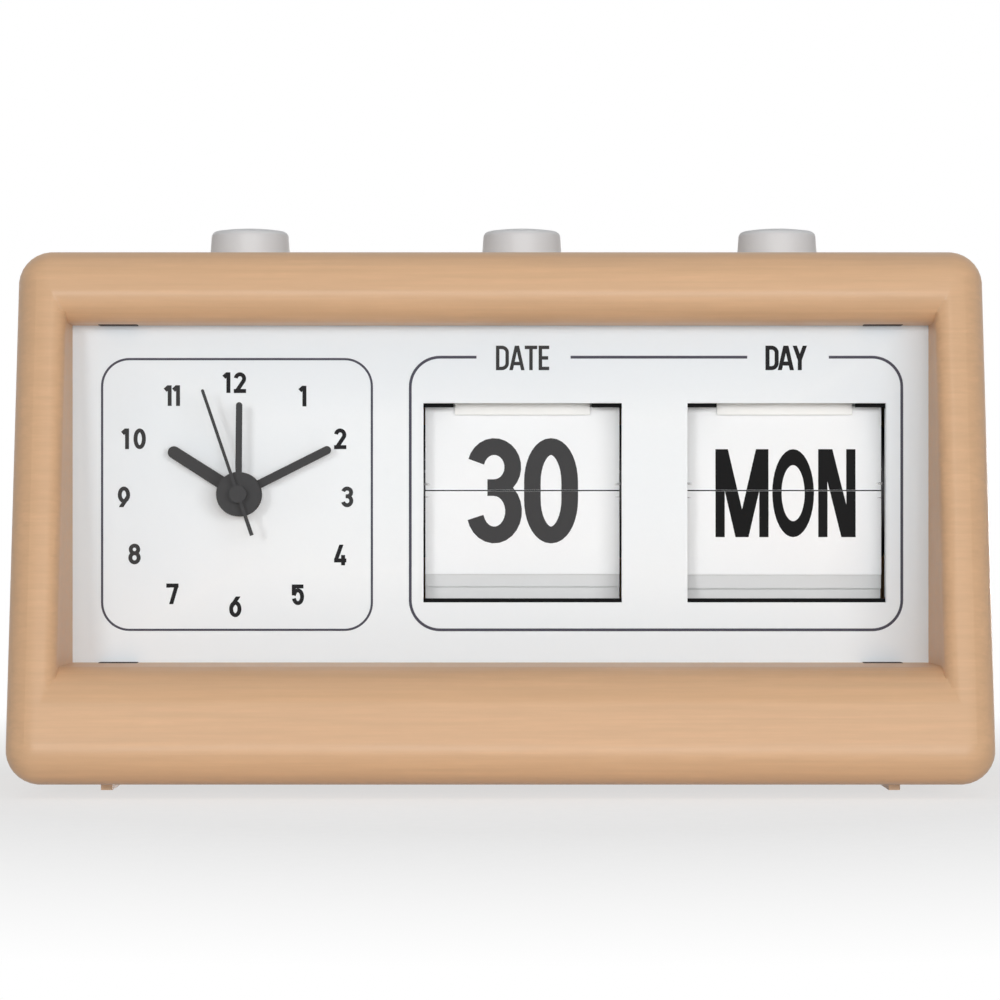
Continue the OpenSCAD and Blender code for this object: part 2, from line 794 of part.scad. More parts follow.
module cannon_pinion() {
    inner = alarm_pipe_r + pipe_play;
    color("goldenrod") placed() on_axis() {
        xz(layer_motion[0], layer_motion[1]) difference() {
            gear(cannon_n, motion_m, mesh(0, motion_n, cannon_n, 90));
            circle(inner);
        }
        pipe(minute_pipe_r, inner, minute_hand_y[0], layer_centre[1]);
    }
}

module centre_wheel() {
    color("goldenrod") placed() on_axis()
        wheel(centre_n, fine_m, layer_centre, minute_pipe_r + pipe_play);
}

module alarm_hand() {
    color("dimgray") placed() on_axis()
        hand(hub_r, alarm_w, alarm_w, alarm_len, 0, alarm_hand_y, alarm_shows, alarm_pipe_r);
}

module alarm_wheel() {
    inner = arbor_r + pipe_play;
    color("ivory") placed() on_axis() {
        wheel(alarm_n, alarm_m, layer_alarm, inner);
        pipe(alarm_pipe_r, inner, alarm_hand_y[0], layer_alarm[1]);
    }
}

module second_hand() {
    color("dimgray") placed() on_axis()
        hand(hub_boss_r, second_w, second_tail[0], second_len, second_tail[1], second_hand_y,
            second_shows, arbor_r, hub_boss_t);
}

module second_wheel() {
    color("ivory") placed() on_axis() {
        ycyl(arbor_r, second_hand_y[0], box_y[1] - 1);
        wheel(second_n, fine_m, layer_second, arbor_r - 0.1);
        xz(layer_third[0], layer_third[1])
            gear(leaves, third_m, mesh(0, third_n, leaves, third_dir + 180));
    }
}

module third_wheel() {
    turn = mesh(0, centre_n, leaves, third_dir);
    color("goldenrod") placed() on_axis(third_at) {
        ycyl(arbor_r, layer_centre[0] - 0.3, layer_third[1] + 0.3);
        ycyl(pivot_tip, box_y[0] + 0.2, box_y[1] - 0.2);
        xz(layer_centre[0], layer_centre[1]) gear(leaves, fine_m, turn);
        wheel(third_n, third_m, layer_third, arbor_r - 0.1);
    }
}

module motion_wheel() {
    color("ivory") placed() on_axis(motion_at) {
        ycyl(shaft_r, layer_hour[0] - 0.3, rear_y + 5);
        ycyl(pivot_tip, box_y[0] + 0.2, layer_hour[0]);
        xz(layer_hour[0], layer_hour[1]) gear(hour_leaves, hour_m, 0);
        wheel(motion_n, motion_m, layer_motion, shaft_r - 0.1);
    }
}

// A knob with ridges round its rim, pushed on its shaft from behind
module knob(d, shaft) {
    ridges = 18;
    difference() {
        ycyl(d / 2, rear_y + 0.3, knob_end);
        ycyl(shaft, rear_y - 1, rear_y + 5.2);
        for (i = [0:ridges - 1])
            rotate([0, i * 360 / ridges, 0])
                ycyl(0.5, rear_y + 1.5, knob_end + 1, d / 2 + 0.1, 0, $fn = 16);
    }
}

module time_knob() { color("beige") placed() on_axis(motion_at) knob(time_knob_d, shaft_r); }
module alarm_knob() { color("beige") placed() on_axis(set_at) knob(alarm_knob_d, shaft_r); }

module alarm_setter() {
    color("ivory") placed() on_axis(set_at) {
        ycyl(shaft_r, layer_alarm[0] - 0.2, rear_y + 5);
        xz(layer_alarm[0], layer_alarm[1])
            gear(setter_n, alarm_m, mesh(0, alarm_n, setter_n, 180));
    }
}

module intermediate_wheel() {
    color("ivory") placed() on_axis(inter_at) {
        ycyl(arbor_r, layer_second[0] - 0.3, layer_inter[1] + 0.3);
        ycyl(pivot_tip, layer_bar[0] + 0.1, box_y[1] - 0.2);
        xz(layer_second[0], layer_second[1])
            gear(leaves, fine_m, mesh(0, second_n, leaves, inter_dir));
        wheel(inter_n, fine_m, layer_inter, arbor_r - 0.1);
    }
}

module rotor() {
    color("dimgray") placed() on_axis(rotor_at) {
        ycyl(magnet_r, magnet_y[0], magnet_y[1]);
        ycyl(arbor_r, layer_inter[0] - 0.3, magnet_y[1] + 0.1);
        ycyl(pivot_tip, box_y[0] + 0.2, box_y[1] - 0.2);
        xz(layer_inter[0], layer_inter[1])
            gear(leaves, fine_m, mesh(0, inter_n, leaves, rotor_dir));
    }
}

module pivots(r) {
    for (at = [third_at, rotor_at, inter_at])
        ycyl(r, box_y[0] - 1, box_y[1] + 1, at[0], at[1]);
}

module movement_body() {
    color("gainsboro") placed() on_axis() difference() {
        union() {
            difference() {
                block([-box_half, box_half], [box_y[0], box_y[1] - box_wall], [-box_half, box_half]);
                block([-box_half + box_wall, box_half - box_wall],
                    [box_y[0] + box_wall, box_y[1]], [-box_half + box_wall, box_half - box_wall]);
            }
            ycyl(bush_r, bush_y, box_y[0] + 0.5);
            block([inter_at[0] - 1.2, box_half - 0.5], layer_bar, span(inter_at[1], -1.2, 1.2));
            block([0.5 - box_half, set_at[0] + 1.6], layer_bar, span(set_at[1], -1.6, 1.6));
        }
        ycyl(hour_pipe_r + pipe_play, bush_y - 1, box_y[0] + 3);
        ycyl(pivot_tip + 0.05, layer_bar[0] - 1, layer_bar[1] + 1, inter_at[0], inter_at[1]);
        ycyl(shaft_r + 0.05, layer_bar[0] - 1, layer_bar[1] + 1, set_at[0], set_at[1]);
        for (at = [third_at, rotor_at, motion_at])
            ycyl(pivot_tip + 0.05, box_y[0] - 1, box_y[0] + 3, at[0], at[1]);
    }
}

module movement_cover() {
    shelf = shelf_z - axis_z;
    color("gainsboro") placed() on_axis() difference() {
        union() {
            block([-box_half, box_half], [box_y[1] - box_wall, box_y[1]], [-box_half, box_half]);
            block([-7, 7], [box_y[1] - 0.5, button_y + 6], [shelf - 1.6, shelf]);
            for (x = stator_post)
                ycyl(1, magnet_y[1] - 0.4, box_y[1] - 1, x, coil_z);
        }
        pivots(pivot_tip + 0.05);
        ycyl(arbor_r + 0.05, box_y[0], box_y[1] + 1);
        for (at = [motion_at, set_at])
            ycyl(shaft_r + 0.05, box_y[0], box_y[1] + 1, at[0], at[1]);
    }
}

module coil() {
    color("chocolate") placed() on_axis() {
        xcyl(bobbin_r - 0.8, coil_x[0] + 0.5, coil_x[1] - 0.5, coil_y, coil_z);
        for (x = [coil_x[0], coil_x[1] - 1])
            xcyl(bobbin_r, x, x + 1, coil_y, coil_z);
    }
}

module stator() {
    color("silver") placed() on_axis() difference() {
        union() {
            block(span(rotor_at[0], -4.9, 5.6), plate_y, [coil_z - 2.5, rotor_at[1] + 4.7]);
            block([coil_x[0] - 2, rotor_at[0]], plate_y, [coil_z - 2.5, coil_z + 2.5]);
            for (x = [coil_x[0] - 2, coil_x[1]])
                block([x, x + 2], [coil_y - 1.5, plate_y[1]], [coil_z - 2, coil_z + 2]);
        }
        ycyl(magnet_r + 0.4, magnet_y[0], magnet_y[1], rotor_at[0], rotor_at[1]);
        block(span(rotor_at[0], -0.3, 0.3), magnet_y, span(rotor_at[1], magnet_r, 6));
    }
}

module circuit_board() {
    back = box_y[1] - box_wall;
    color("darkgreen") placed() on_axis() {
        block(board_x, [back - 1.2, back], [coil_z + 4.5, box_half - 7]);
        block(board_x + [3, -3], [back - 2.4, back - 1.1], [2, 10]);
        ycyl(2, back - 4, back - 1.1, (board_x[0] + board_x[1]) / 2, -8);
    }
}

// ---- battery and buzzer --------------------------------------------------

module battery() {
    color("steelblue") placed() {
        xcyl(cell_r, cell_x - cell_len / 2, cell_x + cell_len / 2 - 1, cell_y, cell_z);
        xcyl(2.7, cell_x + cell_len / 2 - 1.2, cell_x + cell_len / 2, cell_y, cell_z);
    }
}

module contact_plus() {
    wall_x = cell_x + bay[0] / 2 - 1.5;
    color("silver") placed() {
        block([wall_x - 0.4, wall_x], [cell_y - 5, cell_y + 5], [cell_z - 5, cell_z + 5]);
        xcyl(1.5, cell_x + cell_len / 2, wall_x - 0.3, cell_y, cell_z);
    }
}

module contact_minus() {
    wall_x = cell_x - bay[0] / 2 + 1.5;
    color("silver") placed() {
        block([wall_x, wall_x + 0.4], [cell_y - 5, cell_y + 5], [cell_z - 5, cell_z + 5]);
        translate([wall_x + 0.2, cell_y, cell_z]) rotate([0, 90, 0])
            winding(3.2, 0.3, cell_x - cell_len / 2 - wall_x - 0.2, 3);
    }
}

module buzzer() {
    color("black") placed() difference() {
        ycyl(buzzer_r, cover_y - 3.4, cover_y, buzzer_at[0], buzzer_at[1]);
        ycyl(buzzer_r - 3, cover_y - 0.8, cover_y + 1, buzzer_at[0], buzzer_at[1]);
    }
}

case_shell();
dial_plate();
rear_cover();
battery_door();
rail_left();
rail_right();
cover_screw_left();
cover_screw_right();
alarm_button();
date_button();
day_button();
alarm_spring();
date_spring();
day_spring();
alarm_guide();
alarm_switch();
date_frame();
day_frame();
date_axle();
day_axle();
date_drum();
day_drum();
date_flap();
day_flap();
date_fallen();
day_fallen();
date_fallen_next();
day_fallen_next();
date_leaves();
day_leaves();
date_tab();
day_tab();
date_click();
day_click();
movement_body();
movement_cover();
hour_hand();
hour_wheel();
minute_hand();
cannon_pinion();
centre_wheel();
third_wheel();
second_hand();
second_wheel();
alarm_hand();
alarm_wheel();
motion_wheel();
time_knob();
alarm_setter();
alarm_knob();
intermediate_wheel();
rotor();
coil();
stator();
circuit_board();
battery();
contact_plus();
contact_minus();
buzzer();
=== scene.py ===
import json
import math
import bmesh
import bpy
from mathutils import Matrix, Vector


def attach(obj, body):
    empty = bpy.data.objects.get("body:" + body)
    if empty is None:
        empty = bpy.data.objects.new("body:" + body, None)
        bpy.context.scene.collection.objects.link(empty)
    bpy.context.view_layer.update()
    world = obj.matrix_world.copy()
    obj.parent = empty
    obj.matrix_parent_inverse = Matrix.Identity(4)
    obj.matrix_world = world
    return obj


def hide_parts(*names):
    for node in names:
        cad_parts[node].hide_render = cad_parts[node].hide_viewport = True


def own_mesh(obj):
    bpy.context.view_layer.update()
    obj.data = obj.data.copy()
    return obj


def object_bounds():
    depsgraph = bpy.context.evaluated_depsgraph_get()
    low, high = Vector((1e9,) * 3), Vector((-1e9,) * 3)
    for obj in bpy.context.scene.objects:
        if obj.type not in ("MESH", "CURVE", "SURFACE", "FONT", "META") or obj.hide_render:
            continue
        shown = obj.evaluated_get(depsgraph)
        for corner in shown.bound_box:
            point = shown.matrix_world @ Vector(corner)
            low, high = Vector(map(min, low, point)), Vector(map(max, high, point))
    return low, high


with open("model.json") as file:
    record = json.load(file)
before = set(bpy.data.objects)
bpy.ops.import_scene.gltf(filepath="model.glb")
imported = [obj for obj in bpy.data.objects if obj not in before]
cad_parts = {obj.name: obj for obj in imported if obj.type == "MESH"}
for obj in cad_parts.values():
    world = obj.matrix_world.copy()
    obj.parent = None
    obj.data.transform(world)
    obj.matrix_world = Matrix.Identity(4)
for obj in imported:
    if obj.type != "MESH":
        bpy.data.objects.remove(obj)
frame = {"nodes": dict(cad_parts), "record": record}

cad_low, cad_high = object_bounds()
nodes = frame["nodes"]
MM = 0.001

# The dial frame of the source, in millimetres: x = 0 is the middle of the clock, y = 0 the front
# of the dial plate, z = 0 the ground.
MID_Y = 12.5272                      # the row's y = 0 in the dial frame
DIAL_W = 178.3
DIAL_Z = (26.0, 96.2)                # the dial plate's lower and upper edge
DATE_X = DIAL_W * 0.0258             # the middle of each window
DAY_X = DIAL_W * 0.33455
CARD_HALF = DIAL_W * 0.2288 / 2      # half the width of a card
AXIS = (-DIAL_W * 0.3037, 61.0)      # the hands' axis: x, z
DRUM = (20.4, 61.9)                  # the drums' axis: y, z
CARD_BACK, CARD_T = 0.04, 0.2        # from the pins' axis to a card's near face, and its thickness
SPLIT = (61.75, 62.05)               # the gap between the lower and the upper card: z


def row(x, y, z):
    """A point of the dial frame, in the row's metres."""
    return Vector((x * MM, (y - MID_Y) * MM, z * MM))


# ---------------------------------------------------------------- materials
# Noise scales are per metre, and depths of bump are in metres.

def srgb(r, g, b):
    """A colour written 0 to 255 as the screen shows it, as linear light."""
    def lin(c):
        c /= 255
        return c / 12.92 if c <= 0.04045 else ((c + 0.055) / 1.055) ** 2.4
    return (lin(r), lin(g), lin(b), 1.0)


def shade(colour, k):
    """The colour made k times as bright."""
    return tuple(min(1.0, max(0.0, c * k)) for c in colour[:3]) + (1.0,)


class Tree:
    """A short way to write node trees."""

    def __init__(self, name):
        self.mat = bpy.data.materials.new(name)
        self.mat.use_nodes = True
        self.t = self.mat.node_tree
        self.t.nodes.clear()
        self.out = self.t.nodes.new("ShaderNodeOutputMaterial")
        self.coord = self.t.nodes.new("ShaderNodeTexCoord")

    def node(self, kind, **settings):
        n = self.t.nodes.new(kind)
        for key, value in settings.items():
            setattr(n, key, value)
        return n

    def link(self, a, b):
        self.t.links.new(a, b)

    def noise(self, scale, stretch=(1, 1, 1), detail=3.0, rough=0.55):
        m = self.node("ShaderNodeMapping")
        m.inputs["Scale"].default_value = stretch
        self.link(self.coord.outputs["Object"], m.inputs["Vector"])
        n = self.node("ShaderNodeTexNoise")
        n.inputs["Scale"].default_value = scale
        n.inputs["Detail"].default_value = detail
        n.inputs["Roughness"].default_value = rough
        self.link(m.outputs["Vector"], n.inputs["Vector"])
        return n.outputs["Fac"]

    def spread(self, value, low, high, a=0.3, b=0.7):
        """The value's range a to b, spread over low to high."""
        r = self.node("ShaderNodeMapRange")
        r.inputs["From Min"].default_value = a
        r.inputs["From Max"].default_value = b
        r.inputs["To Min"].default_value = low
        r.inputs["To Max"].default_value = high
        self.link(value, r.inputs["Value"])
        return r.outputs["Result"]

    def rim(self, middle, full, clear):
        """0 inside a rectangle about the middle (x, z), and 1 at its outer limits.
        full, clear: half sizes of the outer limits and of the clear inside, in metres."""
        apart = self.node("ShaderNodeSeparateXYZ")
        self.link(self.coord.outputs["Object"], apart.inputs[0])
        most = self.node("ShaderNodeMath", operation="MAXIMUM")
        for k, axis in enumerate("XZ"):
            off = self.node("ShaderNodeMath", operation="SUBTRACT")
            self.link(apart.outputs[axis], off.inputs[0])
            off.inputs[1].default_value = middle[k]
            size = self.node("ShaderNodeMath", operation="ABSOLUTE")
            self.link(off.outputs[0], size.inputs[0])
            end = self.spread(size.outputs[0], 0.0, 1.0, clear[k], full[k])
            self.link(end, most.inputs[k])
        return most.outputs[0]

    def mix(self, fac, a, b):
        """The colour a where fac is 0, and b where it is 1."""
        m = self.node("ShaderNodeMix", data_type="RGBA")
        self.link(fac, m.inputs["Factor"])
        ends = [s for s in m.inputs if s.type == "RGBA"]
        for end, value in zip(ends, (a, b)):
            if isinstance(value, tuple):
                end.default_value = value
            else:
                self.link(value, end)
        return [s for s in m.outputs if s.type == "RGBA"][0]

    def bump(self, height, depth, strength=1.0, under=None):
        n = self.node("ShaderNodeBump")
        n.inputs["Strength"].default_value = strength
        n.inputs["Distance"].default_value = depth
        self.link(height, n.inputs["Height"])
        if under is not None:
            self.link(under, n.inputs["Normal"])
        return n.outputs["Normal"]

    def principled(self, colour, rough, normal, **fixed):
        p = self.node("ShaderNodeBsdfPrincipled")
        self.link(colour, p.inputs["Base Color"])
        self.link(normal, p.inputs["Normal"])
        if isinstance(rough, float):
            p.inputs["Roughness"].default_value = rough
        else:
            self.link(rough, p.inputs["Roughness"])
        for name, value in fixed.items():
            p.inputs[name.replace("_", " ")].default_value = value
        self.link(p.outputs["BSDF"], self.out.inputs["Surface"])
        return self.mat


def moulded(name, colour, rough=0.5, depth=0.00002, speck=900, spread=0.03, **fixed):
    """Moulded plastic: a fine spark-eroded grain, and slow, faint changes of tone and of gloss."""
    t = Tree(name)
    fine = t.noise(speck, detail=2.0)
    slow = t.noise(22, detail=2.0)
    tone = t.mix(t.spread(slow, 0.0, 1.0), shade(colour, 1 - spread), shade(colour, 1 + spread))
    tone = t.mix(t.spread(fine, 0.0, 0.35), tone, shade(colour, 1 - 2.2 * spread))
    gloss = t.spread(slow, rough - 0.04, rough + 0.05)
    return t.principled(tone, gloss, t.bump(fine, depth), **fixed)


def grained(name, colour, rough=0.42):
    """The case: a tan plastic with the faint level grain of a printed or brushed wood film."""
    t = Tree(name)
    streak = t.noise(1.0, (26, 420, 900), detail=4.0, rough=0.6)
    band = t.noise(1.0, (7, 90, 170), detail=3.0)
    fine = t.noise(1500, detail=2.0)
    mottle = t.noise(1.0, (150, 380, 620), detail=2.0)
    tone = t.mix(t.spread(streak, 0.0, 1.0), shade(colour, 0.90), shade(colour, 1.06))
    tone = t.mix(t.spread(band, 0.0, 0.5), tone, shade(colour, 0.91))
    tone = t.mix(t.spread(mottle, 0.0, 0.4), tone, shade(colour, 0.90))
    normal = t.bump(streak, 0.000012, 0.8)
    normal = t.bump(fine, 0.000006, 0.6, under=normal)
    gloss = t.spread(streak, rough - 0.05, rough + 0.07)
    return t.principled(tone, gloss, normal, Specular_IOR_Level=0.42)


PAINTED_SHADE_TINT = (0.83, 0.87, 0.90)          # what the painted shade at the dial's rim keeps of its colour, a little cool


def paper(name, colour, rough=0.62, spread=0.012, rim=None):
    """Card and the painted dial: a matt white with a fine tooth.
    rim: where painted shade darkens and cools the colour towards the edges, as Tree.rim takes it."""
    t = Tree(name)
    tooth = t.noise(2600, detail=3.0)
    slow = t.noise(14, detail=2.0)
    tone = t.mix(t.spread(slow, 0.0, 1.0), shade(colour, 1 - spread), shade(colour, 1 + spread))
    tone = t.mix(t.spread(tooth, 0.0, 0.3), tone, shade(colour, 1 - 3 * spread))
    # Painted shade: the colour darkens and cools towards the rim, for the shade of the recess round
    # the dial.
    if rim:
        painted_shade = tuple(c * k for c, k in zip(colour, PAINTED_SHADE_TINT)) + (1.0,)
        tone = t.mix(t.rim(*rim), tone, painted_shade)
    gloss = t.spread(tooth, rough - 0.05, rough + 0.05)
    return t.principled(tone, gloss, t.bump(tooth, 0.000008, 0.6), Specular_IOR_Level=0.35)


def metal(name, colour, rough=0.3, stretch=(60, 60, 2400), depth=0.000008, metallic=1.0):
    """Drawn or brushed metal: fine scratches one way, a slow change of gloss."""
    t = Tree(name)
    lines = t.noise(1.0, stretch, detail=4.0)
    slow = t.noise(60, detail=2.0)
    tone = t.mix(t.spread(lines, 0.0, 1.0), shade(colour, 0.86), shade(colour, 1.06))
    gloss = t.spread(slow, rough - 0.06, rough + 0.1)
    return t.principled(tone, gloss, t.bump(lines, depth, 0.7), Metallic=metallic)


def wound(name, colour):
    """Enamelled copper wire, laid turn by turn along X."""
    t = Tree(name)
    wave = t.node("ShaderNodeTexWave", wave_type="BANDS", bands_direction="X", wave_profile="SIN")
    wave.inputs["Scale"].default_value = 900
    wave.inputs["Distortion"].default_value = 0.6
    t.link(t.coord.outputs["Object"], wave.inputs["Vector"])
    height = wave.outputs["Fac"]
    tone = t.mix(t.spread(height, 0.0, 1.0, 0.0, 1.0), shade(colour, 0.62), shade(colour, 1.1))
    return t.principled(tone, 0.32, t.bump(height, 0.00009), Metallic=0.75)


def laminate(name, colour):
    """A circuit board: green lacquer over woven glass, with paler tracks."""
    t = Tree(name)
    weave = t.noise(1.0, (1900, 1900, 1900), detail=2.0)
    track = t.node("ShaderNodeTexBrick")
    track.inputs["Scale"].default_value = 260
    track.inputs["Mortar Size"].default_value = 0.03
    track.inputs["Color1"].default_value = colour
    track.inputs["Color2"].default_value = shade(colour, 1.25)
    track.inputs["Mortar"].default_value = shade(colour, 2.0)
    t.link(t.coord.outputs["Object"], track.inputs["Vector"])
    tone = t.mix(t.spread(weave, 0.0, 0.4), track.outputs["Color"], shade(colour, 0.8))
    return t.principled(tone, 0.4, t.bump(weave, 0.00002))


def ink(name, colour, spread=0.06):
    """Matt printing ink."""
    return moulded(name, colour, 0.7, depth=0.000006, speck=2600, spread=spread,
                   Specular_IOR_Level=0.15)


# Tree.rim's middle, full and clear: where the painted shade at the dial's rim is darkest, and where
# the dial is clear of it.
DIAL_PAINTED_SHADE = ((0.0, 0.061), (0.089, 0.0355), (0.055, 0.016))
MATERIAL = {
    "case": grained("case_tan_grain", srgb(219, 177, 137)),
    # The rails are the case's plastic, painted much lighter than the case: painted light against
    # the shadow under the case.
    "rails": moulded("rail_tan_painted_light", srgb(250, 214, 178), 0.5),
    "cover": moulded("cover_brown", srgb(196, 156, 118), 0.55, depth=0.00004, speck=1400),
    "dial": paper("dial_white", srgb(248, 252, 255), rim=DIAL_PAINTED_SHADE),
    "cards": paper("card_white", srgb(251, 253, 255), 0.5),
    "tab": moulded("tab_film", srgb(236, 236, 233), 0.38, spread=0.012),
    "button": moulded("button_grey", srgb(214, 215, 217), 0.4, depth=0.000012, spread=0.012),
    "steel": metal("drawn_steel", (0.62, 0.62, 0.63, 1.0), 0.28),
    "white_parts": moulded("moulding_white", srgb(232, 231, 226), 0.5),
    "grey_parts": moulded("moulding_dark", srgb(44, 44, 46), 0.5),
    "hands": moulded("hand_paint", srgb(58, 58, 59), 0.6, depth=0.000008, spread=0.04,
                     Specular_IOR_Level=0.25),
    "knobs": moulded("knob_beige", srgb(226, 214, 190), 0.48),
    "copper": wound("winding_copper", (0.56, 0.23, 0.09, 1.0)),
    "magnet": metal("magnet_grey", (0.16, 0.16, 0.17, 1.0), 0.5, (900, 900, 900), 0.00002, 0.6),
    "board": laminate("board_green", (0.02, 0.14, 0.05, 1.0)),
    "cell": metal("cell_blue", srgb(64, 92, 140), 0.3, (2000, 40, 40), 0.000004, 0.5),
    "black_parts": moulded("moulding_black", srgb(13, 13, 14), 0.75, Specular_IOR_Level=0.12),
}
# The dial's catches are painted dark brown: painted shade for the dark slots they sit in.
CATCH_PAINTED_SHADE = moulded("catch_painted_shade_brown", srgb(52, 36, 30), 0.6, Specular_IOR_Level=0.2)
INK = ink("print_ink", srgb(33, 33, 35))
INK_SOFT = ink("print_ink_soft", srgb(60, 60, 61), 0.05)
INK_DATE = ink("print_ink_date", srgb(68, 68, 69), 0.04)
INK_DAY = ink("print_ink_day", srgb(12, 12, 13))
INK_LINE = ink("print_line", srgb(80, 80, 92))
# The card behind the fallen one, and the stack of all the others, are painted a little greyer:
# painted shade, for where they lie deeper in the window.
CARD_PAINTED_SHADE = {
    "_fallen_next": paper("card_painted_shade_next", srgb(226, 227, 227), 0.5),
    "_leaves": paper("card_painted_shade_stack", srgb(236, 237, 237), 0.5),
}


def clothe(obj, mat):
    obj.data.materials.clear()
    obj.data.materials.append(mat)


slot_of = {part["node"]: part["material_slot"] for part in frame["record"]["subparts"]}
for name, obj in nodes.items():
    clothe(obj, MATERIAL["rails" if name.startswith("rail_") else slot_of[name]])
    for end, mat in CARD_PAINTED_SHADE.items():
        if name.endswith(end):
            clothe(obj, mat)

# The pins at both ends of the cards are painted black, as painted shade, so that they do not show
# in the gap beside a card and the gap reads as deep shade.
PIN_CLEAR = 0.01                     # a face's middle further out than this is a pin's
for which, middle in (("date", DATE_X), ("day", DAY_X)):
    for part in ("_flap", "_fallen", "_fallen_next", "_leaves"):
        obj = nodes[which + part]
        obj.data.materials.append(MATERIAL["black_parts"])
        for face in obj.data.polygons:
            off = abs((obj.matrix_world @ face.center).x / MM - middle)
            if off > CARD_HALF + PIN_CLEAR:
                face.material_index = 1


# ---------------------------------------------------------------- pieces in general

def piece(name, bm, body, mat, smooth=False, angle=35):
    """Makes an object of a bmesh written in row metres, and sets it riding.
    smooth: shaded smooth up to the angle, in degrees, and sharp over it."""
    bmesh.ops.recalc_face_normals(bm, faces=bm.faces)
    mesh = bpy.data.meshes.new(name)
    bm.to_mesh(mesh)
    bm.free()
    obj = bpy.data.objects.new(name, mesh)
    bpy.context.scene.collection.objects.link(obj)
    mesh.materials.append(mat)
    if smooth:
        for p in mesh.polygons:
            p.use_smooth = True
        mesh.set_sharp_from_angle(angle=math.radians(angle))
    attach(obj, body)
    return obj


JOIN, SPECK = 2e-6, 1e-7             # points nearer than this are one, edges shorter than this go


def skin(name, node, body, mat, angle=28):
    """The node's own surface with its points joined, so that its rounded corners shade as one
    smooth form."""
    bm = bmesh.new()
    bm.from_mesh(nodes[node].data)
    bmesh.ops.remove_doubles(bm, verts=bm.verts, dist=JOIN)
    bmesh.ops.dissolve_degenerate(bm, edges=bm.edges, dist=SPECK)
    obj = piece(name, bm, body, mat, smooth=True, angle=angle)
    weighted = obj.modifiers.new("weighted", "WEIGHTED_NORMAL")
    weighted.mode = "FACE_AREA"
    weighted.weight = 60
    weighted.keep_sharp = True
    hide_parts(node)
    return obj


skin("case_skin", "case_shell", "case", MATERIAL["case"])

# Each spring gets a smooth skin, with a mesh of its own.
for which in ("alarm", "date", "day"):
    spring = which + "_spring"
    coil = skin(which + "_coil", spring, "case", MATERIAL["steel"], angle=50)
    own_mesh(coil)


# ---------------------------------------------------------------- printing: strokes of one width

def arc(cx, cz, rx, rz, a, b, steps=18):
    """Points of an ellipse from angle a to b, in degrees, counter-clockwise if b > a."""
    return [(cx + rx * math.cos(math.radians(a + (b - a) * i / steps)),
             cz + rz * math.sin(math.radians(a + (b - a) * i / steps))) for i in range(steps + 1)]


def ring(cx, cz, rx, rz, steps=44):
    """A whole ellipse, without its last point, which is its first."""
    return arc(cx, cz, rx, rz, 0, 360 - 360 / steps, steps - 1)


def oval(w, h, t, rz):
    """A closed upright oval with straight flanks: rz is the height of each round end."""
    c, rx, m = w / 2, (w - t) / 2, t / 2
    return arc(c, h - m - rz, rx, rz, 0, 180) + arc(c, m + rz, rx, rz, 180, 360)


def stroke(*points, heavier=1.0):
    """An open stroke, and how much wider it is than the character's own width of line."""
    return (list(points), False, heavier)


def loop(points):
    """A closed stroke."""
    return (points, True, 1.0)


DIAGONAL = 1.3                       # how much heavier the diagonals of M and N are


